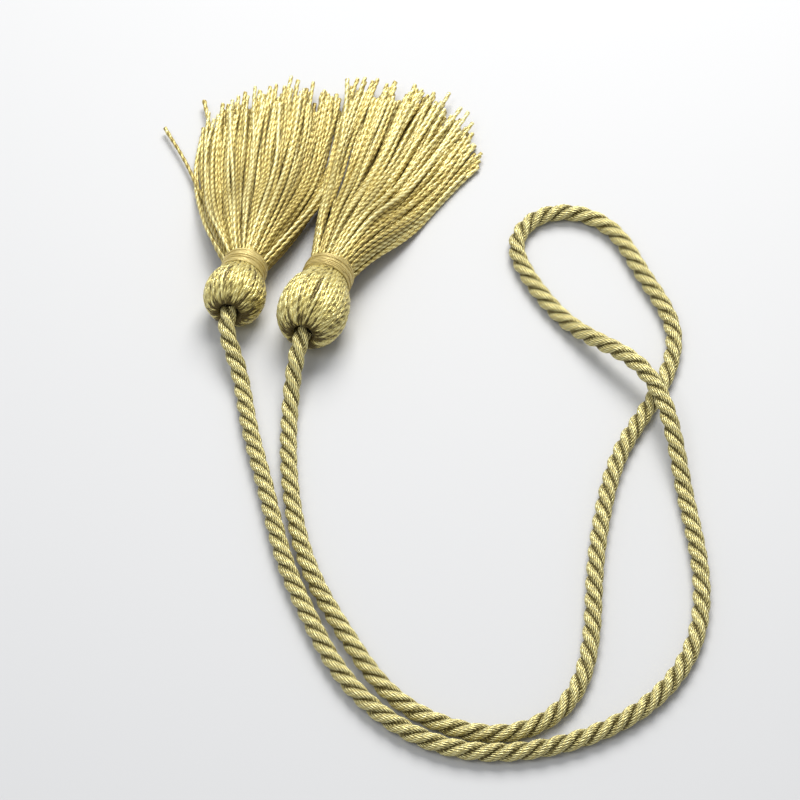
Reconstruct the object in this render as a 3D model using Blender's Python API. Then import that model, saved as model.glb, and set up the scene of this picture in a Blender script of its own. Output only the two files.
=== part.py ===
"""Two silk tassels on one looped three-strand cord, lying flat on a surface.

Metres, +Z up, +Y away from the viewer. The origin lies on the surface, under the
middle of the two tassels. Places below are in millimetres on the plan.
"""
import bpy
import numpy as np
from math import radians
from mathutils import Vector
from mathutils.geometry import delaunay_2d_cdt

MM = 0.001

# Cord: three strands laid to the left, so they show as a backslash on an upright run.
CORD_DIAMETER = 4.2
CORD_LAY = 13.5
CORD_STEPS_PER_TURN = 8
CORD_VALLEY = 0.70
CORD_END_GAP = 0.5
END_RISE_RUN = 24.0
CROSSING = (60.5, 1.5)
CROSSING_LIFT = 4.7
CROSSING_FLAT = 6.0
CROSSING_RUN = 34.0

# The cord's way on the plan, from the left head to the right one.
ROUTE = (
    (-41, 24), (-41.6, 20), (-39, 10), (-36, -5), (-31, -27), (-26, -48), (-20, -64), (-12, -80),
    (11, -98), (26, -99), (41, -95), (55, -86), (65, -71), (68, -52), (66, -30), (63, -9),
    (58, 5), (48, 16), (31, 41), (29, 51), (34, 59), (43, 61), (52, 56), (59, 42),
    (66, 22), (60, 0), (52, -15), (47, -32), (44, -52), (42, -72), (36, -87), (25, -94),
    (12, -93), (-1, -85), (-11, -70), (-20, -51), (-25, -29), (-26, -5), (-24, 12), (-23, 16),
)

# One row for each tassel. Headings are degrees from +Y towards +X, lengths are millimetres.
TASSELS = (
    dict(name="left", hole=(-41, 24), heading=12, head_radius=7.1, head_length=12.8, neck_radius=4.5,
         skirt_length=63, skirt_heading=4, fan=13.5, quickness=3.0, longest=0.3, seed=3),
    dict(name="right", hole=(-23, 16), heading=16, head_radius=8.1, head_length=18.5, neck_radius=5.1,
         skirt_length=66, skirt_heading=23, fan=20, quickness=1.3, longest=-0.3, seed=8),
)
HEAD_SIDES = 32
HEAD_FLUTE = 0.12
HEAD_FLAT = 0.45
HEAD_DIP = 4.0
HOLE_RADIUS = 2.95
HOLE_DEPTH = 1.4
HOLE_THROAT = 0.7
NECK_LENGTH = 4.6

BINDING_LENGTH = 3.5
BINDING_THICKNESS = 0.9
BINDING_TURNS = 3
BINDING_SIDES = 24
CLEARANCE = 0.3

STRAND_RADIUS = 0.40
STRAND_PITCH = 0.88
STRAND_RINGS = 5
STRAND_LAYER = 0.86
STRAND_SETTLED = 0.72
SIDE_SHORTENING = 0.14
TIP_SPREAD = 0.6
SKIRT_BULGE = 0.35
ROOT_MARGIN = 0.5

# Head outline: share of the head's length, share of the way from the hole's radius to the head's.
HEAD_OUTLINE = (
    dict(along=0.00, out=0.22),
    dict(along=0.05, out=0.46),
    dict(along=0.16, out=0.74),
    dict(along=0.32, out=0.95),
    dict(along=0.48, out=1.00),
    dict(along=0.64, out=0.95),
    dict(along=0.80, out=0.80),
    dict(along=0.92, out=0.60),
)

# Middle of the tassels' extent on the plan, which becomes the origin.
LAYOUT_CENTRE = (-13.46, 57.79)


def clear_scene():
    for item in list(bpy.data.objects):
        bpy.data.objects.remove(item, do_unlink=True)


def silk(name, colour, roughness):
    material = bpy.data.materials.new(name)
    material.use_nodes = True
    surface = material.node_tree.nodes["Principled BSDF"]
    surface.inputs["Base Color"].default_value = (*colour, 1.0)
    surface.inputs["Roughness"].default_value = roughness
    surface.inputs["Metallic"].default_value = 0.0
    return material


def heading_vector(degrees):
    angle = radians(degrees)
    return np.array((np.sin(angle), np.cos(angle), 0.0))


def on_layout(point):
    return np.array((point[0] - LAYOUT_CENTRE[0], point[1] - LAYOUT_CENTRE[1]))


def ease(share):
    share = np.clip(share, 0.0, 1.0)
    return share * share * (3.0 - 2.0 * share)


def smooth_curve(points, step):
    """A natural cubic through the points, read again at an even step."""
    points = np.asarray(points, float)
    knots = np.concatenate(([0.0], np.cumsum(np.linalg.norm(np.diff(points, axis=0), axis=1))))
    gaps = np.diff(knots)
    count = len(points)
    matrix = np.eye(count)
    bend = np.zeros_like(points)
    for i in range(1, count - 1):
        matrix[i, i - 1:i + 2] = gaps[i - 1], 2.0 * (gaps[i - 1] + gaps[i]), gaps[i]
        rise = (points[i + 1] - points[i]) / gaps[i] - (points[i] - points[i - 1]) / gaps[i - 1]
        bend[i] = 6.0 * rise
    bend = np.linalg.solve(matrix, bend)
    fine = np.linspace(0.0, knots[-1], 4000)
    at = np.clip(np.searchsorted(knots, fine, side="right") - 1, 0, count - 2)
    left = (fine - knots[at])[:, None]
    right = (knots[at + 1] - fine)[:, None]
    gap = gaps[at][:, None]
    curve = (bend[at] * right ** 3 + bend[at + 1] * left ** 3) / (6.0 * gap)
    curve += (points[at] / gap - bend[at] * gap / 6.0) * right
    curve += (points[at + 1] / gap - bend[at + 1] * gap / 6.0) * left
    walked = np.concatenate(([0.0], np.cumsum(np.linalg.norm(np.diff(curve, axis=0), axis=1))))
    even = np.linspace(0.0, walked[-1], int(round(walked[-1] / step)) + 1)
    return np.stack([np.interp(even, walked, curve[:, k]) for k in range(curve.shape[1])], axis=1)


def hole_height(tassel):
    """Height of the head's axis at its hole, for a head that dips towards its skirt."""
    widest = 0.48 * tassel["head_length"]
    return tassel["head_radius"] - HEAD_FLAT + widest * np.sin(radians(HEAD_DIP))


def cord_line(step):
    """The cord's middle line: on the surface, up to each hole, and over itself once."""
    plan = smooth_curve([on_layout(p) for p in ROUTE], step)
    walked = np.concatenate(([0.0], np.cumsum(np.linalg.norm(np.diff(plan, axis=0), axis=1))))
    height = np.full(len(plan), CORD_DIAMETER / 2.0)
    for tassel, away in ((TASSELS[0], walked), (TASSELS[1], walked[-1] - walked)):
        rise = hole_height(tassel) - CORD_DIAMETER / 2.0
        height += rise * ease(1.0 - away / END_RISE_RUN)
    first_pass = walked < 0.55 * walked[-1]
    away = np.linalg.norm(plan - on_layout(CROSSING), axis=1)
    top = walked[first_pass][np.argmin(away[first_pass])]
    lift = ease(1.0 - (np.abs(walked - top) - CROSSING_FLAT) / (CROSSING_RUN - CROSSING_FLAT))
    height += CROSSING_LIFT * lift
    return np.column_stack((plan, height))


def mesh_object(name, vertices, faces, material, smooth=True):
    mesh = bpy.data.meshes.new(name)
    mesh.from_pydata([Vector(v) * MM for v in vertices], [], faces)
    mesh.validate()
    if smooth:
        mesh.shade_smooth()
        mesh.set_sharp_from_angle(angle=radians(50))
    mesh.materials.append(material)
    item = bpy.data.objects.new(name, mesh)
    bpy.context.scene.collection.objects.link(item)
    return item


def bridge(faces, ring, next_ring):
    count = len(ring)
    for i in range(count):
        j = (i + 1) % count
        faces.append((ring[i], next_ring[i], next_ring[j], ring[j]))


def build_cord(material):
    """A lobed section swept along the cord's line and turned once in each lay."""
    line = cord_line(CORD_LAY / CORD_STEPS_PER_TURN)
    along = np.gradient(line, axis=0)
    along /= np.linalg.norm(along, axis=1)[:, None]
    side = np.cross(along, (0.0, 0.0, 1.0))
    side /= np.linalg.norm(side, axis=1)[:, None]
    over = np.cross(side, along)
    radii = CORD_DIAMETER / 2.0 * np.where(np.arange(6) % 2 == 0, 1.0, CORD_VALLEY)
    vertices, rings, faces = [], [], []
    for step, middle in enumerate(line):
        turned = 2.0 * np.pi * step / CORD_STEPS_PER_TURN
        rings.append(list(range(len(vertices), len(vertices) + 6)))
        for corner in range(6):
            angle = np.pi * corner / 3.0 - turned
            offset = np.cos(angle) * side[step] + np.sin(angle) * over[step]
            vertices.append(middle + radii[corner] * offset)
    for ring, next_ring in zip(rings, rings[1:]):
        bridge(faces, ring, next_ring)
    faces.append(tuple(rings[0]))
    faces.append(tuple(reversed(rings[-1])))
    return mesh_object("cord", vertices, faces, material, smooth=False)


def head_frame(tassel):
    """Where the hole is, the way the head points, its side and its upper side."""
    flat = heading_vector(tassel["heading"])
    dip = radians(HEAD_DIP)
    axis = flat * np.cos(dip) - np.array((0.0, 0.0, np.sin(dip)))
    side = np.cross(flat, (0.0, 0.0, 1.0))
    upper = np.cross(side, axis)
    x, y = on_layout(tassel["hole"])
    start = np.array((x, y, hole_height(tassel))) + axis * (CORD_END_GAP - HOLE_DEPTH)
    return start, axis, side, upper


def ring_on(frame, distance, radius, sides, flute=0.0):
    start, axis, side, upper = frame
    ring = []
    for i in range(sides):
        angle = 2.0 * np.pi * i / sides
        reach = radius + (flute if i % 2 == 0 else -flute)
        ring.append(start + axis * distance + reach * (np.cos(angle) * side + np.sin(angle) * upper))
    return ring


def head_rings(tassel, frame):
    """Rings from the bottom of the cord's hole over the head to the neck's end."""
    length = tassel["head_length"]
    swell = tassel["head_radius"] - HOLE_RADIUS
    rings = [ring_on(frame, HOLE_DEPTH, HOLE_RADIUS, HEAD_SIDES)]
    rings.append(ring_on(frame, HOLE_THROAT, HOLE_RADIUS, HEAD_SIDES))
    for row in HEAD_OUTLINE:
        radius = HOLE_RADIUS + row["out"] * swell
        flute = HEAD_FLUTE * min(1.0, 2.0 * row["out"])
        rings.append(ring_on(frame, row["along"] * length, radius, HEAD_SIDES, flute))
    rings.append(ring_on(frame, length, tassel["neck_radius"], HEAD_SIDES))
    rings.append(ring_on(frame, length + NECK_LENGTH, tassel["neck_radius"], HEAD_SIDES))
    return rings


def strand_roots(tassel):
    """Rows of roots inside the neck, each with its share across and its rank from below."""
    reach = tassel["neck_radius"] - ROOT_MARGIN
    row_gap = STRAND_PITCH * np.sqrt(3.0) / 2.0
    rows = int(reach / row_gap)
    roots = []
    for row in range(-rows, rows + 1):
        shift = 0.5 * (row % 2)
        half = int(reach / STRAND_PITCH) + 1
        for column in range(-half, half + 1):
            across, up = (column + shift) * STRAND_PITCH, row * row_gap
            if across * across + up * up <= reach * reach:
                roots.append(dict(across=across, up=up, share=across / reach))
    for root in roots:
        below = [r for r in roots if abs(r["across"] - root["across"]) < 0.1 and r["up"] < root["up"] - 0.1]
        root["rank"] = len(below)
    return roots


def strand_line(tassel, frame, root, rng):
    """Middle points of one strand, from the neck's end down to the surface and out to its tip."""
    start, axis, side, upper = frame
    neck = start + axis * (tassel["head_length"] + NECK_LENGTH)
    first = neck + side * root["across"] + upper * root["up"]
    share = root["share"]
    turn = tassel["skirt_heading"] + tassel["fan"] * share + rng.uniform(-1.0, 1.0)
    length = tassel["skirt_length"] * (1.0 - SIDE_SHORTENING * (share - tassel["longest"]) ** 2)
    length *= rng.uniform(0.95, 1.0)
    tip = neck + heading_vector(turn) * length + side * root["across"] * TIP_SPREAD
    tip[2] = STRAND_RADIUS / 2.0 + root["rank"] * STRAND_LAYER
    # The spread comes early along the skirt, so the ends run nearly side by side.
    onward = heading_vector(tassel["skirt_heading"])
    sideways = np.cross(onward, (0.0, 0.0, 1.0))
    reach = tip - first
    line = []
    for t in np.linspace(0.0, 1.0, STRAND_RINGS + 1):
        spread = 1.0 - (1.0 - t) ** tassel["quickness"]
        point = first + onward * np.dot(reach, onward) * t + sideways * np.dot(reach, sideways) * spread
        point[2] = first[2] + reach[2] * ease(t / STRAND_SETTLED)
        point[2] += max(root["up"], 0.0) * SKIRT_BULGE * np.sin(np.pi * min(t / 0.5, 1.0))
        line.append(point)
    return line


def strand_rings(line, frame):
    """Three-sided rings along a strand, its flat side down."""
    rings = []
    for k, middle in enumerate(line):
        if k == 0:
            across, over = frame[2], frame[3]
        else:
            along = line[min(k + 1, len(line) - 1)] - line[k - 1]
            across = np.cross(along, (0.0, 0.0, 1.0))
            across /= np.linalg.norm(across)
            over = np.array((0.0, 0.0, 1.0))
        ring = []
        for corner in range(3):
            angle = radians(90 + 120 * corner)
            ring.append(middle + STRAND_RADIUS * (np.cos(angle) * across + np.sin(angle) * over))
        rings.append(ring)
    return rings


def neck_end_faces(rim, roots, frame):
    """Triangles over the neck's end, one of them under each strand."""
    flat = [Vector((np.dot(p - frame[0], frame[2]), np.dot(p - frame[0], frame[3]))) for p in rim]
    edges = [(i, (i + 1) % len(rim)) for i in range(len(rim))]
    for root in roots:
        base = len(flat)
        for corner in range(3):
            angle = radians(90 + 120 * corner)
            flat.append(Vector((root["across"] + STRAND_RADIUS * np.cos(angle),
                                root["up"] + STRAND_RADIUS * np.sin(angle))))
        edges += [(base, base + 1), (base + 1, base + 2), (base + 2, base)]
    points, _, triangles, origins, _, _ = delaunay_2d_cdt(flat, edges, [], 1, 1e-6)
    source = [o[0] for o in origins]
    return [tuple(source[i] for i in triangle) for triangle in triangles]


def build_tassel(tassel, material):
    """Head, neck and strands as one closed body, the strands parted down to their roots."""
    rng = np.random.default_rng(tassel["seed"])
    frame = head_frame(tassel)
    vertices, faces, rings = [], [], []
    for ring in head_rings(tassel, frame):
        rings.append(list(range(len(vertices), len(vertices) + HEAD_SIDES)))
        vertices += [np.array((p[0], p[1], max(p[2], 0.0))) for p in ring]
    for ring, next_ring in zip(rings, rings[1:]):
        bridge(faces, ring, next_ring)
    faces.append(tuple(rings[0]))

    roots = strand_roots(tassel)
    rim = [vertices[i] for i in rings[-1]]
    lines = [strand_rings(strand_line(tassel, frame, root, rng), frame) for root in roots]
    index = list(rings[-1])
    for strand in lines:
        index += range(len(vertices), len(vertices) + 3)
        vertices += strand[0]
    under = {frozenset(index[HEAD_SIDES + 3 * k + c] for c in range(3)) for k in range(len(roots))}
    for triangle in neck_end_faces(rim, roots, frame):
        face = tuple(index[i] for i in reversed(triangle))
        if frozenset(face) not in under:
            faces.append(face)
    for k, strand in enumerate(lines):
        ring = index[HEAD_SIDES + 3 * k:HEAD_SIDES + 3 * k + 3]
        for points in strand[1:]:
            next_ring = list(range(len(vertices), len(vertices) + 3))
            vertices += points
            bridge(faces, ring, next_ring)
            ring = next_ring
        faces.append(tuple(reversed(ring)))
    return mesh_object("tassel_" + tassel["name"], vertices, faces, material)


def build_binding(tassel, material):
    """The wound band round the neck, its turns raised as soft ridges."""
    frame = head_frame(tassel)
    inner = tassel["neck_radius"] + CLEARANCE
    begin = tassel["head_length"] + 0.5 * (NECK_LENGTH - BINDING_LENGTH) + 0.1
    profile = [(begin, inner), (begin + BINDING_LENGTH, inner)]
    for k in range(2 * BINDING_TURNS + 1):
        distance = begin + BINDING_LENGTH * (1.0 - k / (2.0 * BINDING_TURNS))
        radius = inner + BINDING_THICKNESS * (1.0 if k % 2 else 0.6)
        profile.append((distance, radius))
    vertices, faces, rings = [], [], []
    for distance, radius in profile:
        rings.append(list(range(len(vertices), len(vertices) + BINDING_SIDES)))
        vertices += ring_on(frame, distance, radius, BINDING_SIDES)
    for next_ring, ring in zip(rings, rings[1:] + rings[:1]):
        bridge(faces, ring, next_ring)
    return mesh_object("binding_" + tassel["name"], vertices, faces, material)


def main():
    clear_scene()
    cord_silk = silk("cord_silk", (0.62, 0.47, 0.27), 0.38)
    skirt_silk = silk("skirt_silk", (0.68, 0.54, 0.34), 0.36)
    binding_silk = silk("binding_silk", (0.52, 0.37, 0.19), 0.42)
    build_cord(cord_silk)
    for tassel in TASSELS:
        build_tassel(tassel, skirt_silk)
        build_binding(tassel, binding_silk)


main()
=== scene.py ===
import bpy
import math
import numpy as np
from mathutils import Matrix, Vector


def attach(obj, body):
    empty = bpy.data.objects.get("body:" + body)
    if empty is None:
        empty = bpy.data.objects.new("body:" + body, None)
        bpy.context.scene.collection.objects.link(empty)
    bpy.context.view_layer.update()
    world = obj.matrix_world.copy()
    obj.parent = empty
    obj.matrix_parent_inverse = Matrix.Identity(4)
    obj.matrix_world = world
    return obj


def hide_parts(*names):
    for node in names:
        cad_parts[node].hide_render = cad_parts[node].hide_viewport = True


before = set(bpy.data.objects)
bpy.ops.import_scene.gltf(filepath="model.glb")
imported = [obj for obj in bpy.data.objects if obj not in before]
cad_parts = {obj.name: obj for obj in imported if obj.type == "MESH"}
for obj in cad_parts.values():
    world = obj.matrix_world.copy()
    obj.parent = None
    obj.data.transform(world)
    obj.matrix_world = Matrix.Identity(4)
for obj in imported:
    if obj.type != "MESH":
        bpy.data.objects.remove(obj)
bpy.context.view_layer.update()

mm = 0.001


def addObject(name, data):
    made = bpy.data.objects.new(name, data)
    bpy.context.scene.collection.objects.link(made)
    return made


# Camera: the photo's angle through a long lens, aimed at the point that the photo has in its middle
cameraLook = {
    "target": (0.0135, -0.0578, 0.002),
    "elevation": 50.0,
    "distance": 0.711,
    "lens": 135.0,
}


def placeCamera(look):
    camera = addObject("camera", bpy.data.cameras.new("camera"))
    rise = math.radians(look["elevation"])
    away = Vector((0.0, -math.cos(rise), math.sin(rise))) * look["distance"]
    camera.location = Vector(look["target"]) + away
    camera.rotation_euler = (math.pi / 2 - rise, 0.0, 0.0)
    camera.data.lens = look["lens"]
    camera.data.sensor_width = 36.0
    camera.data.clip_start = 0.05
    camera.data.clip_end = 20.0
    bpy.context.scene.camera = camera


placeCamera(cameraLook)
print("camera placed")


# Small helpers for curves
def ease(share):
    share = np.clip(share, 0.0, 1.0)
    return share * share * (3.0 - 2.0 * share)


def walkedLength(points):
    steps = np.linalg.norm(np.diff(points, axis=0), axis=1)
    return np.concatenate(([0.0], np.cumsum(steps)))


def smoothCurve(points, step):
    # a natural cubic through the points, read again at an even step
    points = np.asarray(points, float)
    knots = walkedLength(points)
    gaps = np.diff(knots)
    count = len(points)
    matrix = np.eye(count)
    bend = np.zeros_like(points)
    for i in range(1, count - 1):
        matrix[i, i - 1:i + 2] = gaps[i - 1], 2.0 * (gaps[i - 1] + gaps[i]), gaps[i]
        rise = (points[i + 1] - points[i]) / gaps[i] - (points[i] - points[i - 1]) / gaps[i - 1]
        bend[i] = 6.0 * rise
    bend = np.linalg.solve(matrix, bend)
    fine = np.linspace(0.0, knots[-1], 4000)  # fine enough to measure the curve by
    at = np.clip(np.searchsorted(knots, fine, side="right") - 1, 0, count - 2)
    left = (fine - knots[at])[:, None]
    right = (knots[at + 1] - fine)[:, None]
    gap = gaps[at][:, None]
    curve = (bend[at] * right ** 3 + bend[at + 1] * left ** 3) / (6.0 * gap)
    curve += (points[at] / gap - bend[at] * gap / 6.0) * right
    curve += (points[at + 1] / gap - bend[at + 1] * gap / 6.0) * left
    walked = walkedLength(curve)
    even = np.linspace(0.0, walked[-1], int(round(walked[-1] / step)) + 1)
    return np.stack([np.interp(even, walked, curve[:, k]) for k in range(curve.shape[1])], axis=1)


def headingVector(degrees):
    angle = math.radians(degrees)
    return np.array((math.sin(angle), math.cos(angle), 0.0))


# Node tree helpers: one for shaders and geometry alike
def addNode(tree, kind, **settings):
    node = tree.nodes.new(kind)
    inputs = settings.pop("inputs", {})
    for name, value in settings.items():
        setattr(node, name, value)
    for key, value in inputs.items():
        setInput(tree, node, key, value)
    return node


def setInput(tree, node, key, value):
    socket = node.inputs[key]
    if isinstance(value, bpy.types.NodeSocket):
        tree.links.new(value, socket)
    else:
        socket.default_value = value


def maths(tree, operation, *values):
    node = addNode(tree, "ShaderNodeMath", operation=operation)
    for i, value in enumerate(values):
        setInput(tree, node, i, value)
    return node.outputs[0]


def vectorMaths(tree, operation, *values):
    node = addNode(tree, "ShaderNodeVectorMath", operation=operation)
    for i, value in enumerate(values):
        setInput(tree, node, i, value)
    return node.outputs[0]


def newSockets(tree, direction, sockets):
    for name, kind, value in sockets:
        socket = tree.interface.new_socket(name=name, in_out=direction, socket_type=kind)
        if value is not None:
            socket.default_value = value


# Silk finish: plies, filaments, flecks and soft tone changes, with painted shade in the ply grooves and
# painted highlights on the crests and flecks, shared by every silk piece
silkPattern = {
    "filamentReach": 0.16,  # noise circle's radius for each filament round a thread
    "filamentStretch": 0.35,  # how fast the filaments change along a thread, for each mm
    "filamentScale": 2.2,
    "filamentShift": 83.0,  # sends each thread to its own place in the noise
    "filamentTone": 0.4,
    "patchStretch": 0.11,
    "patchShift": 57.0,
    "grooveSharpness": 1.6,
    "flecksPastPlies": 5.0,
    "fleckMiddle": 0.35,
    "filamentHeight": 0.2,  # shares of the bump
    "fleckHeight": 0.45,
    "plyHeight": 0.35,
}


def buildSilkGroup():
    group = bpy.data.node_groups.new("silkFilaments", "ShaderNodeTree")
    newSockets(group, "INPUT", [
        ("Section", "NodeSocketVector", None),
        ("Turns", "NodeSocketFloat", 0.0),
        ("Along", "NodeSocketFloat", 0.0),
        ("Pick", "NodeSocketFloat", 0.0),
        ("Shade", "NodeSocketFloat", 0.0),
        ("Filaments", "NodeSocketFloat", 20.0),
        ("Plies", "NodeSocketFloat", 2.0),
        ("Flecks", "NodeSocketFloat", 0.8),
        ("Painted Glints", "NodeSocketFloat", 0.0),
        ("Patches", "NodeSocketFloat", 0.5),
        ("Spread", "NodeSocketFloat", 0.4),
        ("Crest Shading", "NodeSocketFloat", 0.3),
    ])
    newSockets(group, "OUTPUT", [
        ("Tone", "NodeSocketFloat", None),
        ("Height", "NodeSocketFloat", None),
        ("Groove Shade", "NodeSocketFloat", None),
    ])
    given = addNode(group, "NodeGroupInput").outputs
    parts = addNode(group, "ShaderNodeSeparateXYZ", inputs={"Vector": given["Section"]}).outputs
    angle = maths(group, "ARCTAN2", parts["Y"], parts["X"])
    turned = maths(group, "MULTIPLY_ADD", given["Turns"], -2.0 * math.pi, angle)
    # fine filaments, on a circle that turns with the twist, so that the pattern closes on itself
    reach = maths(group, "MULTIPLY", given["Filaments"], silkPattern["filamentReach"])
    place = addNode(group, "ShaderNodeCombineXYZ", inputs={
        "X": maths(group, "MULTIPLY", maths(group, "COSINE", turned), reach),
        "Y": maths(group, "MULTIPLY", maths(group, "SINE", turned), reach),
        "Z": maths(group, "ADD", maths(group, "MULTIPLY", given["Along"], silkPattern["filamentStretch"]),
                   maths(group, "MULTIPLY", given["Pick"], silkPattern["filamentShift"])),
    }).outputs[0]
    fibre = addNode(group, "ShaderNodeTexNoise", inputs={
        "Vector": place, "Scale": silkPattern["filamentScale"], "Detail": 2.0, "Roughness": 0.6}).outputs[0]
    # slow changes along a thread, and a tone of its own for each one
    slowPlace = addNode(group, "ShaderNodeCombineXYZ", inputs={
        "X": maths(group, "MULTIPLY", given["Pick"], silkPattern["patchShift"]),
        "Y": maths(group, "MULTIPLY", given["Along"], silkPattern["patchStretch"]),
    }).outputs[0]
    slow = addNode(group, "ShaderNodeTexNoise", inputs={
        "Vector": slowPlace, "Scale": 1.0, "Detail": 2.0}).outputs[0]
    spread = addNode(group, "ShaderNodeTexWhiteNoise", noise_dimensions="1D",
                     inputs={"W": given["Pick"]}).outputs[0]
    plyAngle = maths(group, "MULTIPLY", turned, given["Plies"])
    ply = maths(group, "MULTIPLY_ADD", maths(group, "COSINE", plyAngle), 0.5, 0.5)
    # the groove mask says where the ply grooves get painted shade
    groove = maths(group, "POWER", maths(group, "SUBTRACT", 1.0, ply), silkPattern["grooveSharpness"])
    # the crosswise flecks that a yarn's own twist gives, strongest on the crest of a ply; they go into the
    # bump, and into the tone as painted glints
    fleckTurn = maths(group, "MULTIPLY", given["Along"], given["Flecks"])
    fleckTurn = maths(group, "MULTIPLY", fleckTurn, 2.0 * math.pi)
    around = maths(group, "ADD", given["Plies"], silkPattern["flecksPastPlies"])
    fleckTurn = maths(group, "MULTIPLY_ADD", turned, around, fleckTurn)
    fleck = maths(group, "MULTIPLY_ADD", maths(group, "COSINE", fleckTurn), 0.5, 0.5)
    fleck = maths(group, "MULTIPLY", fleck, maths(group, "MULTIPLY_ADD", ply, 0.7, 0.3))
    fleck = maths(group, "MULTIPLY", fleck, maths(group, "MULTIPLY_ADD", fibre, 0.8, 0.7))
    tone = maths(group, "MULTIPLY_ADD", maths(group, "SUBTRACT", slow, 0.5), given["Patches"], 0.5)
    tone = maths(group, "MULTIPLY_ADD", maths(group, "SUBTRACT", spread, 0.5), given["Spread"], tone)
    filamentTone = silkPattern["filamentTone"]
    tone = maths(group, "MULTIPLY_ADD", maths(group, "SUBTRACT", fibre, 0.5), filamentTone, tone)
    # painted light and shade: lighter on the ply crests, darker in the grooves
    tone = maths(group, "MULTIPLY_ADD", maths(group, "SUBTRACT", ply, 0.5), given["Crest Shading"], tone)
    # painted glints on the flecks
    overFleck = maths(group, "SUBTRACT", fleck, silkPattern["fleckMiddle"])
    tone = maths(group, "MULTIPLY_ADD", overFleck, given["Painted Glints"], tone)
    # painted shade from the shade attribute, which below zero makes a thread's end paler
    tone = maths(group, "SUBTRACT", tone, given["Shade"])
    height = maths(group, "MULTIPLY", fibre, silkPattern["filamentHeight"])
    height = maths(group, "MULTIPLY_ADD", fleck, silkPattern["fleckHeight"], height)
    height = maths(group, "MULTIPLY_ADD", ply, silkPattern["plyHeight"], height)
    addNode(group, "NodeGroupOutput", inputs={"Tone": tone, "Height": height, "Groove Shade": groove})
    return group


silkGroup = buildSilkGroup()

# tones from darkest to lit, which take in painted shade and painted highlights as well as the silk's own
# tone changes, then the pattern's strengths, and how the surface takes light
silkLooks = {
    "skirtSilk": {
        "dark": (0.40, 0.295, 0.050), "middle": (0.77, 0.635, 0.195), "light": (0.98, 0.90, 0.43),
        "crestShading": 0.28, "grooveShade": 0.46, "filaments": 14.0, "plies": 2.0,
        "flecks": 0.0, "paintedGlints": 0.0, "patches": 0.40, "spread": 0.48,
        "roughness": (0.42, 0.22), "metallic": 0.30, "bump": 0.5, "bumpDepth": 0.16 * mm,
    },
    "headSilk": {
        "dark": (0.115, 0.082, 0.014), "middle": (0.78, 0.66, 0.215), "light": (0.97, 0.90, 0.43),
        "crestShading": 0.22, "grooveShade": 0.26, "filaments": 20.0, "plies": 2.0,
        "flecks": 0.0, "paintedGlints": 0.0, "patches": 0.60, "spread": 0.42,
        "roughness": (0.42, 0.22), "metallic": 0.50, "bump": 0.5, "bumpDepth": 0.14 * mm,
    },
    "bindingSilk": {
        "dark": (0.44, 0.33, 0.10), "middle": (0.74, 0.60, 0.22), "light": (0.92, 0.80, 0.36),
        "crestShading": 0.1, "grooveShade": 0.20, "filaments": 10.0, "plies": 2.0,
        "flecks": 0.0, "paintedGlints": 0.0, "patches": 0.7, "spread": 0.2,
        "roughness": (0.50, 0.34), "metallic": 0.30, "bump": 0.4, "bumpDepth": 0.06 * mm,
    },
    "cordSilk": {
        "dark": (0.115, 0.088, 0.014), "middle": (0.85, 0.73, 0.265), "light": (0.98, 0.92, 0.47),
        "crestShading": 0.15, "grooveShade": 0.24, "filaments": 24.0, "plies": 11.0,
        "flecks": 0.95, "paintedGlints": 0.66, "patches": 0.2, "spread": 0.0,
        "roughness": (0.46, 0.28), "metallic": 0.40, "bump": 0.8, "bumpDepth": 0.16 * mm,
    },
}

# what all the silks share
silkGloss = {
    "darkAt": 0.22,  # places of the darkest and lightest tones on the ramp
    "lightAt": 0.80,
    "grooveShadeTint": (0.8, 0.88, 1.0),  # what the painted shade in a groove takes off red, green and blue
    "specular": 0.6,
    "sheen": 0.15,
    "sheenRoughness": 0.4,
    "sheenTint": (1.0, 0.93, 0.72),
}


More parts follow.
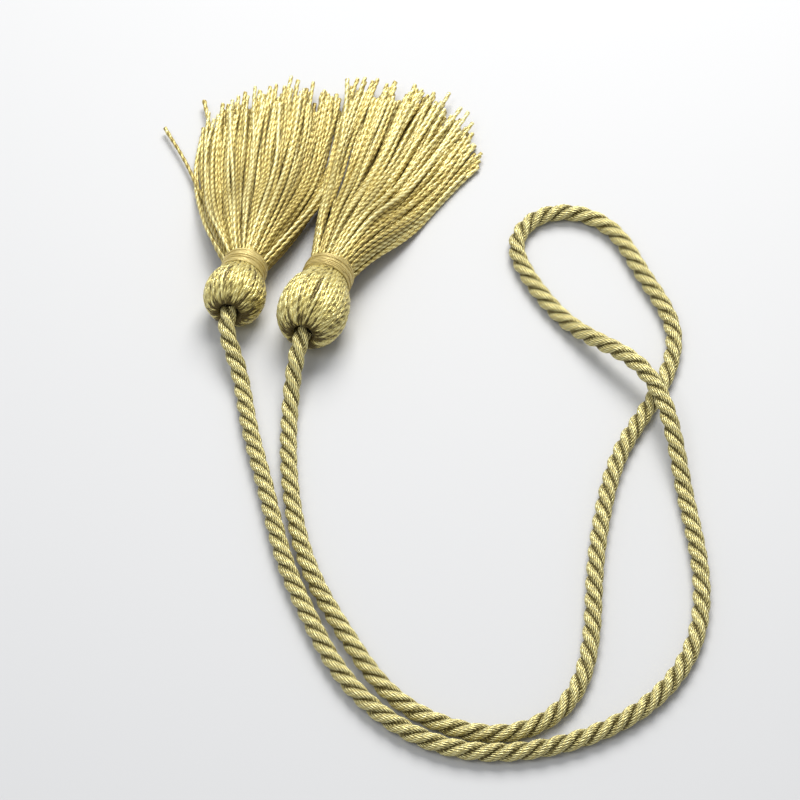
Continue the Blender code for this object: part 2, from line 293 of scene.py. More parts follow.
def makeSilk(name, look):
    material = bpy.data.materials.new(name)
    material.use_nodes = True
    tree = material.node_tree
    surface = tree.nodes["Principled BSDF"]
    section = addNode(tree, "ShaderNodeAttribute", attribute_name="section").outputs["Vector"]
    turns, along, pick, dim = [addNode(tree, "ShaderNodeAttribute", attribute_name=label).outputs["Fac"]
                               for label in ("turns", "along", "pick", "shade")]
    silk = addNode(tree, "ShaderNodeGroup", node_tree=silkGroup, inputs={
        "Section": section, "Turns": turns, "Along": maths(tree, "MULTIPLY", along, 1.0 / mm),
        "Pick": pick, "Shade": dim, "Filaments": look["filaments"], "Plies": look["plies"],
        "Flecks": look["flecks"], "Painted Glints": look["paintedGlints"], "Patches": look["patches"],
        "Spread": look["spread"], "Crest Shading": look["crestShading"]})
    colours = addNode(tree, "ShaderNodeValToRGB", inputs={"Fac": silk.outputs["Tone"]})
    ramp = colours.color_ramp
    ramp.elements[0].position = silkGloss["darkAt"]
    ramp.elements[0].color = (*look["dark"], 1.0)
    ramp.elements[1].position = silkGloss["lightAt"]
    ramp.elements[1].color = (*look["light"], 1.0)
    ramp.elements.new(0.5).color = (*look["middle"], 1.0)
    # painted shade: the ply grooves are darkened, most in blue
    shaded = addNode(tree, "ShaderNodeMix", data_type="RGBA", blend_type="MULTIPLY", inputs={
        "Factor": silk.outputs["Groove Shade"]})
    setInput(tree, shaded, 6, colours.outputs["Color"])
    grooveShadeColour = [1.0 - look["grooveShade"] * tint for tint in silkGloss["grooveShadeTint"]]
    setInput(tree, shaded, 7, (*grooveShadeColour, 1.0))
    setInput(tree, surface, "Base Color", shaded.outputs[2])
    low, high = look["roughness"]
    rough = maths(tree, "MULTIPLY_ADD", silk.outputs["Height"], high - low, low)
    setInput(tree, surface, "Roughness", rough)
    bump = addNode(tree, "ShaderNodeBump", inputs={
        "Strength": look["bump"], "Distance": look["bumpDepth"], "Height": silk.outputs["Height"]})
    setInput(tree, surface, "Normal", bump.outputs["Normal"])
    surface.inputs["Metallic"].default_value = look["metallic"]
    surface.inputs["Specular IOR Level"].default_value = silkGloss["specular"]
    surface.inputs["Sheen Weight"].default_value = silkGloss["sheen"]
    surface.inputs["Sheen Roughness"].default_value = silkGloss["sheenRoughness"]
    surface.inputs["Sheen Tint"].default_value = (*silkGloss["sheenTint"], 1.0)
    return material


silks = {name: makeSilk(name, look) for name, look in silkLooks.items()}
print("silk materials made")


# Geometry Nodes: a twisted thread along every line of a mesh
def namedAttribute(tree, name, kind="FLOAT"):
    return addNode(tree, "GeometryNodeInputNamedAttribute", data_type=kind,
                   inputs={"Name": name}).outputs["Attribute"]


def storeValue(tree, geometry, name, value, kind="FLOAT"):
    return addNode(tree, "GeometryNodeStoreNamedAttribute", data_type=kind, domain="POINT",
                   inputs={"Geometry": geometry, "Name": name, "Value": value}).outputs[0]


def scaled(tree, vector, factor):
    return addNode(tree, "ShaderNodeVectorMath", operation="SCALE",
                   inputs={0: vector, "Scale": factor}).outputs[0]


def markedRing(tree, sides, radius):
    # the section, which keeps each point's place on a unit circle for the finish
    ring = addNode(tree, "GeometryNodeCurvePrimitiveCircle", inputs={
        "Resolution": sides, "Radius": 1.0}).outputs["Curve"]
    place = addNode(tree, "GeometryNodeInputPosition").outputs[0]
    ring = storeValue(tree, ring, "section", place, "FLOAT_VECTOR")
    size = addNode(tree, "ShaderNodeCombineXYZ", inputs={"X": radius, "Y": radius, "Z": radius}).outputs[0]
    return addNode(tree, "GeometryNodeTransform", inputs={"Geometry": ring, "Scale": size}).outputs[0]


def finishTree(tree, mesh, finish):
    smooth = addNode(tree, "GeometryNodeSetShadeSmooth", inputs={"Geometry": mesh}).outputs[0]
    whole = addNode(tree, "GeometryNodeRealizeInstances", inputs={"Geometry": smooth}).outputs[0]
    finished = addNode(tree, "GeometryNodeSetMaterial",
                       inputs={"Geometry": whole, "Material": finish}).outputs[0]
    addNode(tree, "NodeGroupOutput", inputs={"Geometry": finished})


def buildThreadTree():
    tree = bpy.data.node_groups.new("twistedThread", "GeometryNodeTree")
    newSockets(tree, "INPUT", [
        ("Geometry", "NodeSocketGeometry", None),
        ("Step", "NodeSocketFloat", 0.4 * mm),
        ("Ply Pitch", "NodeSocketFloat", 3.0 * mm),
        ("Pitch Spread", "NodeSocketFloat", 0.3),
        ("Bead", "NodeSocketFloat", 0.14),
        ("Sides", "NodeSocketInt", 6),
        ("Finish", "NodeSocketMaterial", None),
    ])
    newSockets(tree, "OUTPUT", [("Geometry", "NodeSocketGeometry", None)])
    given = addNode(tree, "NodeGroupInput").outputs
    lines = addNode(tree, "GeometryNodeMeshToCurve", inputs={"Mesh": given["Geometry"]}).outputs[0]
    even = addNode(tree, "GeometryNodeResampleCurve", mode="LENGTH",
                   inputs={"Curve": lines, "Length": given["Step"]}).outputs[0]
    walked = addNode(tree, "GeometryNodeSplineParameter").outputs["Length"]
    measured = storeValue(tree, even, "along", walked)
    turns = maths(tree, "DIVIDE", namedAttribute(tree, "along"), given["Ply Pitch"])
    own = maths(tree, "SUBTRACT", maths(tree, "FRACT", namedAttribute(tree, "pick")), 0.5)
    turns = maths(tree, "MULTIPLY", turns, maths(tree, "MULTIPLY_ADD", own, given["Pitch Spread"], 1.0))
    # each thread starts its twist at another angle
    turns = maths(tree, "MULTIPLY_ADD", namedAttribute(tree, "pick"), 7.3, turns)
    measured = storeValue(tree, measured, "turns", turns)
    thread = addNode(tree, "GeometryNodeCurveToMesh", inputs={
        "Curve": measured, "Profile Curve": markedRing(tree, given["Sides"], 0.5),
        "Scale": namedAttribute(tree, "width"), "Fill Caps": True}).outputs[0]
    # two plies round each other: the section is a little wider where a ply is
    parts = addNode(tree, "ShaderNodeSeparateXYZ", inputs={
        "Vector": namedAttribute(tree, "section", "FLOAT_VECTOR")}).outputs
    angle = maths(tree, "ARCTAN2", parts["Y"], parts["X"])
    turned = maths(tree, "MULTIPLY_ADD", namedAttribute(tree, "turns"), -2.0 * math.pi, angle)
    ply = maths(tree, "COSINE", maths(tree, "MULTIPLY", turned, 2.0))
    raised = maths(tree, "MULTIPLY", maths(tree, "MULTIPLY", ply, given["Bead"]),
                   maths(tree, "MULTIPLY", namedAttribute(tree, "width"), 0.5))
    normal = addNode(tree, "GeometryNodeInputNormal").outputs["Normal"]
    beaded = addNode(tree, "GeometryNodeSetPosition", inputs={
        "Geometry": thread, "Offset": scaled(tree, normal, raised)}).outputs[0]
    finishTree(tree, beaded, given["Finish"])
    return tree


# Geometry Nodes: strands laid round a line, each with the ridges of its yarns
def buildCordTree():
    tree = bpy.data.node_groups.new("laidCord", "GeometryNodeTree")
    newSockets(tree, "INPUT", [
        ("Geometry", "NodeSocketGeometry", None),
        ("Step", "NodeSocketFloat", 0.85 * mm),
        ("Strands", "NodeSocketInt", 3),
        ("Lay", "NodeSocketFloat", 13.5 * mm),
        ("Strand Offset", "NodeSocketFloat", 1.0 * mm),
        ("Strand Radius", "NodeSocketFloat", 1.1 * mm),
        ("Yarns", "NodeSocketInt", 14),
        ("Yarn Pitch", "NodeSocketFloat", 14.0 * mm),
        ("Yarn Relief", "NodeSocketFloat", 0.045),
        ("Valley Reach", "NodeSocketFloat", 1.2 * mm),
        ("Crest Reach", "NodeSocketFloat", 1.8 * mm),
        ("Valley Shade", "NodeSocketFloat", 1.0),
        ("Sides", "NodeSocketInt", 36),
        ("Finish", "NodeSocketMaterial", None),
    ])
    newSockets(tree, "OUTPUT", [("Geometry", "NodeSocketGeometry", None)])
    given = addNode(tree, "NodeGroupInput").outputs
    line = addNode(tree, "GeometryNodeMeshToCurve", inputs={"Mesh": given["Geometry"]}).outputs[0]
    even = addNode(tree, "GeometryNodeResampleCurve", mode="LENGTH",
                   inputs={"Curve": line, "Length": given["Step"]}).outputs[0]
    walked = addNode(tree, "GeometryNodeSplineParameter").outputs["Length"]
    measured = storeValue(tree, even, "along", walked)
    copies = addNode(tree, "GeometryNodeDuplicateElements", domain="SPLINE",
                     inputs={"Geometry": measured, "Amount": given["Strands"]})
    strands = storeValue(tree, copies.outputs["Geometry"], "pick", copies.outputs["Duplicate Index"])
    centre = addNode(tree, "GeometryNodeInputPosition").outputs[0]
    strands = storeValue(tree, strands, "middle", centre, "FLOAT_VECTOR")
    full = 2.0 * math.pi
    turned = maths(tree, "DIVIDE", namedAttribute(tree, "along"), given["Lay"])
    start = maths(tree, "DIVIDE", namedAttribute(tree, "pick"), given["Strands"])
    angle = maths(tree, "MULTIPLY", maths(tree, "SUBTRACT", start, turned), full)
    normal = addNode(tree, "GeometryNodeInputNormal").outputs["Normal"]
    tangent = addNode(tree, "GeometryNodeInputTangent").outputs[0]
    third = vectorMaths(tree, "CROSS_PRODUCT", tangent, normal)
    across = maths(tree, "MULTIPLY", maths(tree, "COSINE", angle), given["Strand Offset"])
    upward = maths(tree, "MULTIPLY", maths(tree, "SINE", angle), given["Strand Offset"])
    offset = vectorMaths(tree, "ADD", scaled(tree, normal, across), scaled(tree, third, upward))
    laid = addNode(tree, "GeometryNodeSetPosition",
                   inputs={"Geometry": strands, "Offset": offset}).outputs[0]
    yarnTurn = maths(tree, "DIVIDE", namedAttribute(tree, "along"), given["Yarn Pitch"])
    twisted = addNode(tree, "GeometryNodeSetCurveTilt", inputs={
        "Curve": laid, "Tilt": maths(tree, "MULTIPLY", yarnTurn, full)}).outputs[0]
    ring = markedRing(tree, given["Sides"], given["Strand Radius"])
    share = addNode(tree, "GeometryNodeSplineParameter").outputs["Factor"]
    wave = maths(tree, "MULTIPLY", maths(tree, "MULTIPLY", share, given["Yarns"]), full)
    wave = maths(tree, "COSINE", wave)
    place = addNode(tree, "GeometryNodeInputPosition").outputs[0]
    ridge = scaled(tree, place, maths(tree, "MULTIPLY", wave, given["Yarn Relief"]))
    section = addNode(tree, "GeometryNodeSetPosition",
                      inputs={"Geometry": ring, "Offset": ridge}).outputs[0]
    laidMesh = addNode(tree, "GeometryNodeCurveToMesh", inputs={
        "Curve": twisted, "Profile Curve": section, "Scale": 1.0, "Fill Caps": True}).outputs[0]
    # painted shade: the valleys between the strands are darkened, by distance from the cord's middle
    away = addNode(tree, "ShaderNodeVectorMath", operation="DISTANCE", inputs={
        0: addNode(tree, "GeometryNodeInputPosition").outputs[0],
        1: namedAttribute(tree, "middle", "FLOAT_VECTOR")}).outputs["Value"]
    valley = addNode(tree, "ShaderNodeMapRange", interpolation_type="SMOOTHSTEP", inputs={
        "Value": away, "From Min": given["Valley Reach"], "From Max": given["Crest Reach"],
        "To Min": given["Valley Shade"], "To Max": 0.0}).outputs[0]
    dimmed = storeValue(tree, laidMesh, "shade", valley)
    finishTree(tree, dimmed, given["Finish"])
    return tree


threadTree = buildThreadTree()
cordTree = buildCordTree()


def lineMesh(name, lines, widths, picks, shades=0.0):
    # one edge chain per line; every point has its width, its thread's number and its painted shade, which
    # is below zero where an end is paler
    points, edges = [], []
    for line in lines:
        base = len(points)
        points += [tuple(p) for p in line]
        edges += [(base + i, base + i + 1) for i in range(len(line) - 1)]
    mesh = bpy.data.meshes.new(name)
    mesh.from_pydata(points, edges, [])
    shades = [shades] * len(lines) if np.isscalar(shades) else shades
    for label, values in (("width", widths), ("pick", picks), ("shade", shades)):
        spread = [np.broadcast_to(value, len(line)) for value, line in zip(values, lines)]
        attribute = mesh.attributes.new(label, "FLOAT", "POINT")
        attribute.data.foreach_set("value", np.concatenate(spread).astype(float))
    return addObject(name, mesh)


def grow(guide, tree, sizes):
    # runs the tree on the guide and keeps the result as a plain mesh
    modifier = guide.modifiers.new("grow", "NODES")
    modifier.node_group = tree
    sockets = {item.name: item.identifier for item in tree.interface.items_tree if item.in_out == "INPUT"}
    for name, value in sizes.items():
        modifier[sockets[name]] = value
    bpy.context.view_layer.update()
    evaluated = guide.evaluated_get(bpy.context.evaluated_depsgraph_get())
    mesh = bpy.data.meshes.new_from_object(evaluated)
    name = guide.name
    old = guide.data
    bpy.data.objects.remove(guide, do_unlink=True)
    bpy.data.meshes.remove(old)
    mesh.name = name
    return addObject(name, mesh)


# Cord: its way is the part's own, in metres, from the left head to the right one
cord = {
    "diameter": 4.2 * mm,
    "lay": 13.5 * mm,
    "endRiseRun": 24.0 * mm,  # the way over which each end rises to its head
    "crossing": (0.0605, 0.0015),
    "crossingLift": 4.7 * mm,
    "crossingFlat": 6.0 * mm,
    "crossingRun": 34.0 * mm,
    "topPassEnds": 0.55,  # the pass on top comes before this share of the length
    "lineStep": 1.0 * mm,
    "strandRadius": 1.08 * mm,
    "strandOffset": 0.99 * mm,
    "yarns": 11,
    "yarnPitch": 12.0 * mm,
    "valleyReach": 1.15 * mm,  # distances from the cord's middle for the painted valley shade: darkest valley, open crest
    "crestReach": 1.80 * mm,
    "valleyShade": 1.1,
    "route": (
        (-0.041, 0.024), (-0.0416, 0.020), (-0.039, 0.010), (-0.036, -0.005), (-0.031, -0.027),
        (-0.026, -0.048), (-0.020, -0.064), (-0.012, -0.080), (0.011, -0.098), (0.026, -0.099),
        (0.041, -0.095), (0.055, -0.086), (0.065, -0.071), (0.068, -0.052), (0.066, -0.030),
        (0.063, -0.009), (0.058, 0.005), (0.048, 0.016), (0.031, 0.041), (0.029, 0.051),
        (0.034, 0.059), (0.043, 0.061), (0.052, 0.056), (0.059, 0.042), (0.066, 0.022),
        (0.060, 0.000), (0.052, -0.015), (0.047, -0.032), (0.044, -0.052), (0.042, -0.072),
        (0.036, -0.087), (0.025, -0.094), (0.012, -0.093), (-0.001, -0.085), (-0.011, -0.070),
        (-0.020, -0.051), (-0.025, -0.029), (-0.026, -0.005), (-0.024, 0.012), (-0.023, 0.016),
    ),
}
layoutCentre = (-13.46 * mm, 57.79 * mm)  # the layout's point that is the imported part's origin

# Tassels: the part's own sizes, then what only the threads need
head = {
    "flat": 0.45 * mm,  # what the flat spot takes off the bulb's lowest side
    "dip": 4.0,  # degrees that the tassel's axis points down
    "widestAt": 0.48,
    "holeRadius": 2.95 * mm,
    "holeDepth": 1.4 * mm,
    "endGap": 0.5 * mm,
    "neckLength": 4.6 * mm,
    # share of the head's length, share of the way from the hole's radius to the widest one
    "outline": ((0.00, 0.22), (0.05, 0.46), (0.16, 0.74), (0.32, 0.95), (0.48, 1.00),
                (0.64, 0.95), (0.80, 0.80), (0.92, 0.60)),
}
tassels = (
    {
        "side": "left", "hole": (-0.041, 0.024), "heading": 12, "seed": 3,
        "headRadius": 7.1 * mm, "headLength": 12.8 * mm, "neckRadius": 4.5 * mm, "headThreads": 54,
        "skirtLength": 62.5 * mm, "skirtHeading": 3.5, "fan": 15.5, "quickness": 2.1, "threads": 194,
        # the side that meets the other skirt, how far its ends lie up or down there, where the
        # longest threads are across the neck, and what the meeting side's threads are longer by
        "meetsOn": 1, "meetingLift": -1.2 * mm, "longestAt": 0.35, "meetingLength": 0.08,
        # single threads: place across the neck, angle from the skirt's heading, share of its length
        "strays": ((-1.0, -25, 0.87), (-0.9, -14, 0.98), (0.1, 4, 1.10)),
    },
    {
        "side": "right", "hole": (-0.023, 0.016), "heading": 16, "seed": 8,
        "headRadius": 8.1 * mm, "headLength": 18.5 * mm, "neckRadius": 5.1 * mm, "headThreads": 60,
        "skirtLength": 68 * mm, "skirtHeading": 23, "fan": 15.5, "quickness": 1.15, "threads": 192,
        "meetsOn": -1, "meetingLift": 1.8 * mm, "longestAt": -0.4, "meetingLength": 0.0,
        "strays": ((-0.7, -19, 1.02), (0.95, 16, 0.85), (0.5, 1, 1.05)),
    },
)


def inFrame(point):
    # a point of the layout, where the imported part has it
    return np.array((point[0] - layoutCentre[0], point[1] - layoutCentre[1]))


def holeHeight(tassel):
    widest = head["widestAt"] * tassel["headLength"]
    return tassel["headRadius"] - head["flat"] + widest * math.sin(math.radians(head["dip"]))


def cordLine():
    # on the surface, up to each hole, and over itself once
    plan = smoothCurve([inFrame(p) for p in cord["route"]], cord["lineStep"])
    walked = walkedLength(plan)
    height = np.full(len(plan), cord["diameter"] / 2.0)
    for tassel, away in ((tassels[0], walked), (tassels[1], walked[-1] - walked)):
        rise = holeHeight(tassel) - cord["diameter"] / 2.0
        height += rise * ease(1.0 - away / cord["endRiseRun"])
    firstPass = walked < cord["topPassEnds"] * walked[-1]
    offCrossing = np.linalg.norm(plan - inFrame(cord["crossing"]), axis=1)
    top = walked[firstPass][np.argmin(offCrossing[firstPass])]
    slope = cord["crossingRun"] - cord["crossingFlat"]
    height += cord["crossingLift"] * ease(1.0 - (np.abs(walked - top) - cord["crossingFlat"]) / slope)
    return np.column_stack((plan, height))


def buildCord():
    line = cordLine()
    guide = lineMesh("laidCord", [line], [1.0], [0.0])
    piece = grow(guide, cordTree, {
        "Lay": cord["lay"], "Strand Radius": cord["strandRadius"], "Strand Offset": cord["strandOffset"],
        "Yarns": cord["yarns"], "Yarn Pitch": cord["yarnPitch"], "Valley Reach": cord["valleyReach"],
        "Crest Reach": cord["crestReach"], "Valley Shade": cord["valleyShade"],
        "Finish": silks["cordSilk"]})
    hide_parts("cord")
    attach(piece, "root")


buildCord()


def headFrame(tassel):
    # where the hole is, the way the head points, its side and its upper side
    flat = headingVector(tassel["heading"])
    dip = math.radians(head["dip"])
    axis = flat * math.cos(dip) - np.array((0.0, 0.0, math.sin(dip)))
    side = np.cross(flat, (0.0, 0.0, 1.0))
    upper = np.cross(side, axis)
    x, y = inFrame(tassel["hole"])
    start = np.array((x, y, holeHeight(tassel))) + axis * (head["endGap"] - head["holeDepth"])
    return start, axis, side, upper


# Skirts: threads from the neck, fanned out and settled on the surface in layers
skirt = {
    "width": 0.95 * mm,
    "widthSpread": (0.90, 1.08),
    "rootWidth": 0.80 * mm,
    "rootDepth": 2.0 * mm,  # how far the roots start inside the neck
    "rootMargin": 0.20 * mm,
    "step": 0.80 * mm,
    "linePoints": 26,
    "bead": 0.16,
    "plyPitch": 4.8 * mm,
    "lengthSpread": (0.90, 1.05),
    "sideShortening": 0.14,
    "tipSpread": 0.6,
    "layerHeight": 5.0 * mm,  # height of the uppermost ends over the lowest
    "sideLowering": 0.35,
    "lowest": 1.15,  # a thread's least height, in its half widths
    "settled": 0.72,  # share of the length at which a thread has come down
    "bulge": 0.45,
    "quicknessSpread": (0.85, 1.15),
    "strayAngle": 1.5,
    "strayBend": 1.25,
    "strayPlace": (0.9, 0.3),  # across and up the neck, in shares of its reach
    "sway": 1.7 * mm,
    "swayWaves": (0.8, 1.6),
    "ripple": (0.1, 0.3),  # in mm
    "rippleWaves": (9.0, 16.0),
    "paleEnds": 0.16,
    "underShade": 0.35,
    "frayedEnd": 1.0,
}


def threadTip(tassel, neck, side, across, up, rng, stray):
    # where a thread ends: fanned out by its place across the neck, higher for the upper threads
    reach = tassel["neckRadius"] - skirt["rootMargin"]
    share = across / reach
    # as many threads go to the sides as to the middle
    evenShare = 2.0 / math.pi * (math.asin(share) + share * math.sqrt(1.0 - share * share))
    turn = tassel["skirtHeading"] + tassel["fan"] * evenShare + rng.normal(0.0, skirt["strayAngle"])
    # threads get shorter towards the side that doesn't meet the other skirt
    beyond = max((tassel["longestAt"] - share) * tassel["meetsOn"], 0.0)
    meeting = max(share * tassel["meetsOn"], 0.0)
    length = 1.0 - skirt["sideShortening"] * beyond ** 2 + tassel["meetingLength"] * meeting
    length *= tassel["skirtLength"] * rng.uniform(*skirt["lengthSpread"])
    if stray:
        turn = tassel["skirtHeading"] + stray[1]
        length = tassel["skirtLength"] * stray[2]
    tip = neck + headingVector(turn) * length + side * across * skirt["tipSpread"]
    depth = (up + math.sqrt(max(reach * reach - across * across, 0.0))) / (2.0 * reach)
    thick = skirt["width"] * 0.5
    tip[2] = thick + depth * skirt["layerHeight"] * (1.0 - skirt["sideLowering"] * share * share)
    # where the skirts meet, the right one's threads lie over the left one's
    tip[2] = max(tip[2] + tassel["meetingLift"] * meeting, thick)
    return tip


def threadLine(tassel, place, across, up, rng, stray=None):
    start, axis, side, upper = place
    neck = start + axis * (tassel["headLength"] + head["neckLength"])
    first = neck + side * across + upper * up - axis * skirt["rootDepth"]
    span = threadTip(tassel, neck, side, across, up, rng, stray) - first
    # the spread comes early along the skirt, so the ends run nearly side by side
    onward = headingVector(tassel["skirtHeading"])
    sideways = np.cross(onward, (0.0, 0.0, 1.0))
    t = np.linspace(0.0, 1.0, skirt["linePoints"])
    if stray:
        spread = t ** skirt["strayBend"]
    else:
        spread = 1.0 - (1.0 - t) ** (tassel["quickness"] * rng.uniform(*skirt["quicknessSpread"]))
    line = first + np.outer(np.dot(span, onward) * t, onward)
    line += np.outer(np.dot(span, sideways) * spread, sideways)
    line[:, 2] = first[2] + span[2] * ease(t / skirt["settled"])
    line[:, 2] += max(up, 0.0) * skirt["bulge"] * np.sin(math.pi * np.minimum(t / 0.5, 1.0))
    # a slow sway lets threads cross here and there, and a ripple keeps them from lying dead straight
    sway = rng.normal(0.0, 0.5) * skirt["sway"]
    sway = sway * np.sin(math.pi * t * rng.uniform(*skirt["swayWaves"])) * t
    ripple = rng.uniform(*skirt["ripple"]) * mm
    ripple = ripple * np.sin(t * rng.uniform(*skirt["rippleWaves"]) + rng.uniform(0.0, 6.0)) * ease(t * 3.0)
    line += np.outer(sway + ripple, sideways)
    line[:, 2] = np.maximum(line[:, 2], skirt["width"] * 0.5 * skirt["lowest"])
    return line


def threadWidths(count, rng):
    # narrow at the root, and swollen at the open end, where the filaments stand apart
    full = skirt["width"] * rng.uniform(*skirt["widthSpread"])
    swell = ease(np.linspace(0.0, 6.0, count))
    swell += skirt["frayedEnd"] * ease(np.linspace(-10.0, 1.0, count))
    return skirt["rootWidth"] + (full - skirt["rootWidth"]) * swell


def buildSkirt(tassel):
    rng = np.random.default_rng(tassel["seed"])
    place = headFrame(tassel)
    reach = tassel["neckRadius"] - skirt["rootMargin"]
    lines, widths, picks, shades = [], [], [], []
    count, strays = tassel["threads"], tassel["strays"]
    for i in range(count):
        # the roots fill the neck evenly, and the last few threads are the strays
        radius = reach * math.sqrt((i + 0.5) / count)
        angle = i * math.pi * (3.0 - math.sqrt(5.0))
        across, up = radius * math.cos(angle), radius * math.sin(angle)
        stray = strays[i - count] if i >= count - len(strays) else None
        if stray:
            across, up = stray[0] * reach * skirt["strayPlace"][0], skirt["strayPlace"][1] * reach
        line = threadLine(tassel, place, across, up, rng, stray)
        lines.append(line)
        widths.append(threadWidths(len(line), rng))
        picks.append(rng.uniform(0.0, 50.0))
        # the open ends are paler, and the threads underneath get painted shade
        under = 0.5 - 0.5 * up / reach
        ends = ease(np.linspace(-1.0, 1.0, len(line)))
        shades.append(skirt["underShade"] * under ** 1.5 - skirt["paleEnds"] * ends)
    guide = lineMesh("skirt_" + tassel["side"], lines, widths, picks, shades)
    piece = grow(guide, threadTree, {
        "Step": skirt["step"], "Ply Pitch": skirt["plyPitch"], "Bead": skirt["bead"],
        "Finish": silks["skirtSilk"]})
    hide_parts("tassel_" + tassel["side"])
    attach(piece, "root")
    print("skirt", tassel["side"], len(piece.data.polygons), "faces")


# Heads: a core, and threads folded over it that run together into the cord's hole
headCover = {
    "width": 0.94 * mm,
    "bead": 0.12,
    "plyPitch": 5.0 * mm,
    "step": 0.62 * mm,
    "sides": 8,
    "seedShift": 40,
    "profileStep": 0.5 * mm,
    "underBinding": 2.0 * mm,
    "lip": 0.2 * mm,
    "lipInset": 0.1 * mm,
    "holeInset": 0.5 * mm,
    "coreInset": 0.45 * mm,
    "coreClearance": 0.1 * mm,
    "coreSides": 48,
    # painted shade over the whole core, so the gaps between the threads look dark
    "coreShade": 0.6,
    "dimReach": 4.4 * mm,  # the ring of painted shade round the cord: depth, radius and how softly it ends
    "dimRadius": 5.3 * mm,
    "dimFade": 2.8 * mm,
    "dimSpread": (0.75, 1.25),
    "lean": 0.05,  # angles in radians, jitter in shares of the room between threads
    "drift": 0.09,
    "jitter": 0.25,
    "waver": 0.02,
    "wavesAlong": 9.0,
    "layerRise": 0.24 * mm,
    "riseSpread": 0.35,
    "lowest": 0.56,  # a thread's least height, in its widths
    "tightness": 1.25,
    # painted shade along a crease: how dark, the share of threads with one, where, and how long
    "creaseShade": 0.22,
    "creaseShare": 0.08,  # share of the threads that have one
    "creasePlace": (0.2, 0.7),
    "creaseReach": 0.22,
}


def headProfile(tassel, inset):
    # distance and radius from under the binding, over the bulb, down into the hole
    swell = tassel["headRadius"] - head["holeRadius"]
    length = tassel["headLength"]
    rows = [(length + headCover["underBinding"], tassel["neckRadius"] - inset)]
    for along, out in reversed(head["outline"]):
        rows.append((along * length, head["holeRadius"] + out * swell - inset))
    rows.append((headCover["lip"], head["holeRadius"] - headCover["lipInset"] - inset * 0.5))
    rows.append((head["holeDepth"], head["holeRadius"] - headCover["holeInset"] - inset * 0.5))
    return smoothCurve(rows, headCover["profileStep"])


def buildCore(tassel):
    # the closed bulb under the threads, down into the hole at one end and the neck at the other
    start, axis, side, upper = headFrame(tassel)
    profile = headProfile(tassel, headCover["coreInset"] + headCover["coreClearance"])
    sides = headCover["coreSides"]
    angles = 2.0 * math.pi * np.arange(sides) / sides
    around = np.cos(angles)[:, None] * side + np.sin(angles)[:, None] * upper
    points = np.concatenate([start + axis * distance + radius * around for distance, radius in profile])
    points[:, 2] = np.maximum(points[:, 2], headCover["coreClearance"])
    faces = [tuple(range(sides)), tuple(reversed(range(len(points) - sides, len(points))))]
    for k in range(len(profile) - 1):
        for i in range(sides):
            j = (i + 1) % sides
            faces.append((k * sides + j, k * sides + i, (k + 1) * sides + i, (k + 1) * sides + j))
    mesh = bpy.data.meshes.new("core_" + tassel["side"])
    mesh.from_pydata([tuple(p) for p in points], [], faces)
    mesh.shade_smooth()
    mesh.materials.append(silks["headSilk"])
    # painted shade: the core's tone is lowered all over
    dim = mesh.attributes.new("shade", "FLOAT", "POINT")
    dim.data.foreach_set("value", np.full(len(points), headCover["coreShade"]))
    core = addObject(mesh.name, mesh)
    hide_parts("tassel_" + tassel["side"])
    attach(core, "root")


def headShade(profile, share, rng):
    # painted shade: threads go dark where they turn down into the hole, each from its own distance
    reach = rng.uniform(*headCover["dimSpread"])
    pitShade = ease(1.0 - profile[:, 0] / (headCover["dimReach"] * reach))
    pitShade *= ease((headCover["dimRadius"] * reach - profile[:, 1]) / headCover["dimFade"])
    # painted shade: here and there a stretch of a thread is darkened, so it reads as a deep crease
    creaseShadeMask = ease(1.0 - np.abs(share - rng.uniform(*headCover["creasePlace"])) / headCover["creaseReach"])
    creased = rng.random() < headCover["creaseShare"]
    return pitShade + headCover["creaseShade"] * creaseShadeMask * creased


def buildHead(tassel):
    rng = np.random.default_rng(tassel["seed"] + headCover["seedShift"])
    start, axis, side, upper = headFrame(tassel)
    profile = headProfile(tassel, headCover["coreInset"] * 0.5)
    lines, widths, picks, shades = [], [], [], []
    count = tassel["headThreads"]
    share = np.linspace(0.0, 1.0, len(profile))
    jitter, waver, riseSpread = [headCover[name] for name in ("jitter", "waver", "riseSpread")]
    for layer in range(2):
        for i in range(count):
            # the two layers lean opposite ways, and each thread drifts a little on its way
            drift = headCover["lean"] * (layer * 2 - 1) + rng.normal(0.0, headCover["drift"])
            angle = 2.0 * math.pi * (i + 0.5 * layer + rng.uniform(-jitter, jitter)) / count
            angle = angle + drift * (share - 0.4) + waver * np.sin(share * headCover["wavesAlong"] + i)
            raised = layer + rng.uniform(-riseSpread, riseSpread)
            radius = profile[:, 1] + headCover["layerRise"] * raised * np.sin(share * math.pi)
            line = start + axis * profile[:, :1] + radius[:, None] * (
                np.cos(angle)[:, None] * side + np.sin(angle)[:, None] * upper)
            line[:, 2] = np.maximum(line[:, 2], headCover["width"] * headCover["lowest"])
            lines.append(line)
            room = 2.0 * math.pi * radius / count * headCover["tightness"]
            widths.append(np.minimum(headCover["width"], room))
            picks.append(rng.uniform(0.0, 50.0))
            shades.append(headShade(profile, share, rng))
    guide = lineMesh("head_" + tassel["side"], lines, widths, picks, shades)
    piece = grow(guide, threadTree, {
        "Step": headCover["step"], "Ply Pitch": headCover["plyPitch"], "Bead": headCover["bead"],
        "Sides": headCover["sides"], "Finish": silks["headSilk"]})
    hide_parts("tassel_" + tassel["side"])
    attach(piece, "root")
    print("head", tassel["side"], len(piece.data.polygons), "faces")


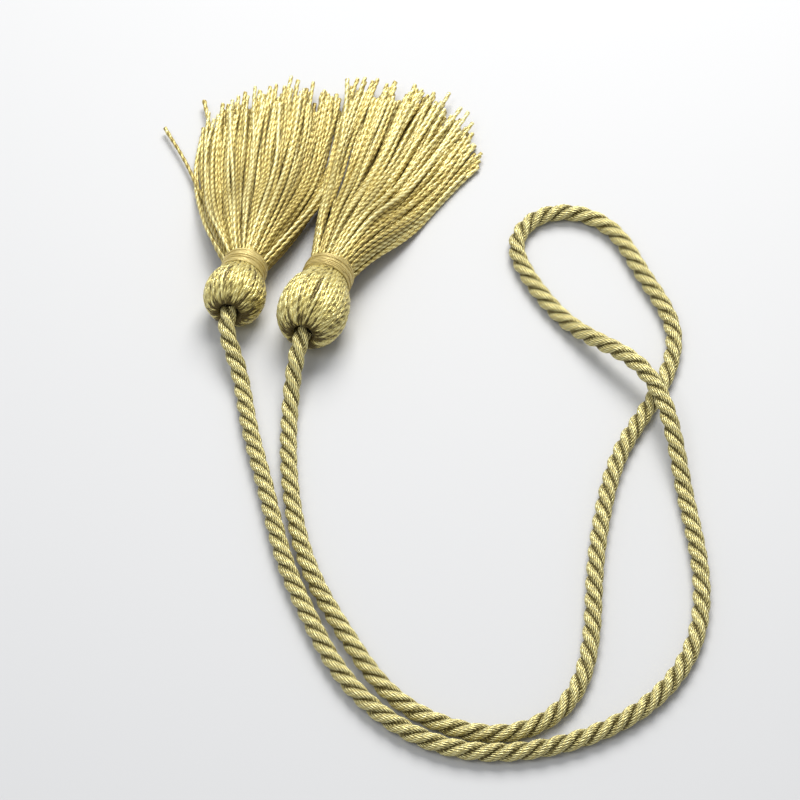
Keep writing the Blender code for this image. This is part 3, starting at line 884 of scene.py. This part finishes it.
# Bindings: one fine thread wound round each neck
binding = {
    "length": 4.6 * mm,
    "offset": 0.1 * mm,
    "clearance": 0.3 * mm,  # off the neck
    "seedShift": 80,
    "turns": 13,
    "width": 0.40 * mm,
    "step": 0.5 * mm,
    "plyPitch": 5.0 * mm,
    "bead": 0.05,
    "pointsPerTurn": 40,
    "layerRise": 0.26 * mm,
    "crown": 0.05 * mm,
    "waver": 0.02 * mm,
    "waverRate": 3.3,
    "loose": 5,
    "looseTurns": 1.3,
    "looseRise": 1.8,
    "pickStep": 3.1,
}


def buildBinding(tassel):
    rng = np.random.default_rng(tassel["seed"] + binding["seedShift"])
    start, axis, side, upper = headFrame(tassel)
    begin = tassel["headLength"] + 0.5 * (head["neckLength"] - binding["length"]) + binding["offset"]
    inset = binding["width"] * 0.5
    inner = tassel["neckRadius"] + binding["clearance"]
    lines, picks = [], []
    # an even layer, a second one over it, then a few loose turns that cross
    for layer in range(2 + binding["loose"]):
        turns = binding["turns"] - 0.5 * layer if layer < 2 else binding["looseTurns"]
        share = np.linspace(0.0, 1.0, int(turns * binding["pointsPerTurn"]))
        angle = share * turns * 2.0 * math.pi + rng.uniform(0.0, 6.0)
        if layer < 2:
            first, last = inset, binding["length"] - inset
            raised = inset + binding["layerRise"] * layer
        else:
            first, last = rng.uniform(inset, binding["length"] - inset, 2)
            raised = inset + binding["layerRise"] * binding["looseRise"]
        distance = begin + first + share * (last - first)
        crown = binding["crown"] * np.sin(math.pi * (distance - begin) / binding["length"])
        radius = inner + raised + crown + binding["waver"] * np.sin(angle * binding["waverRate"])
        line = start + axis * distance[:, None] + radius[:, None] * (
            np.cos(angle)[:, None] * side + np.sin(angle)[:, None] * upper)
        lines.append(line)
        picks.append(layer * binding["pickStep"] + tassel["seed"])
    guide = lineMesh("wrap_" + tassel["side"], lines, [binding["width"]] * len(lines), picks)
    piece = grow(guide, threadTree, {
        "Step": binding["step"], "Ply Pitch": binding["plyPitch"], "Bead": binding["bead"],
        "Finish": silks["bindingSilk"]})
    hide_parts("binding_" + tassel["side"])
    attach(piece, "root")
    print("binding", tassel["side"], len(piece.data.polygons), "faces")


for tassel in tassels:
    buildSkirt(tassel)
    buildCore(tassel)
    buildHead(tassel)
    buildBinding(tassel)
print("tassels made")


# Studio: a pale floor, a broad soft light from behind and above, and a weak fill
studio = {
    "floorSide": 3.0,
    "floorColour": (0.620, 0.625, 0.630),
    "floorRoughness": 0.6,
    "world": (0.94, 0.955, 1.0),
    "worldStrength": 0.42,
    "lights": (
        {
            "name": "keyLight", "from": (0.08, 0.40, 0.60), "size": 0.46,
            "power": 6.0, "colour": (1.0, 0.985, 0.96),
        },
        {
            "name": "fillLight", "from": (-0.30, -0.30, 0.80), "size": 0.4,
            "power": 1.6, "colour": (0.95, 0.97, 1.0),
        },
    ),
}


def buildStudio():
    side = studio["floorSide"]
    mesh = bpy.data.meshes.new("floor")
    corners = [(-side, -side, 0.0), (side, -side, 0.0), (side, side, 0.0), (-side, side, 0.0)]
    mesh.from_pydata(corners, [], [(0, 1, 2, 3)])
    floor = addObject("floor", mesh)
    material = bpy.data.materials.new("paleFloor")
    material.use_nodes = True
    surface = material.node_tree.nodes["Principled BSDF"]
    surface.inputs["Base Color"].default_value = (*studio["floorColour"], 1.0)
    surface.inputs["Roughness"].default_value = studio["floorRoughness"]
    mesh.materials.append(material)
    for light in studio["lights"]:
        data = bpy.data.lights.new(light["name"], "AREA")
        data.size = light["size"]
        data.energy = light["power"]
        data.color = light["colour"]
        lamp = addObject(light["name"], data)
        lamp.location = light["from"]
        aim = Vector(cameraLook["target"]) - lamp.location
        lamp.rotation_euler = aim.to_track_quat("-Z", "Y").to_euler()
    world = bpy.data.worlds.new("studioWorld")
    world.use_nodes = True
    background = world.node_tree.nodes["Background"]
    background.inputs["Color"].default_value = (*studio["world"], 1.0)
    background.inputs["Strength"].default_value = studio["worldStrength"]
    bpy.context.scene.world = world
    bpy.context.scene.view_settings.view_transform = "Standard"


buildStudio()
print("studio lit")
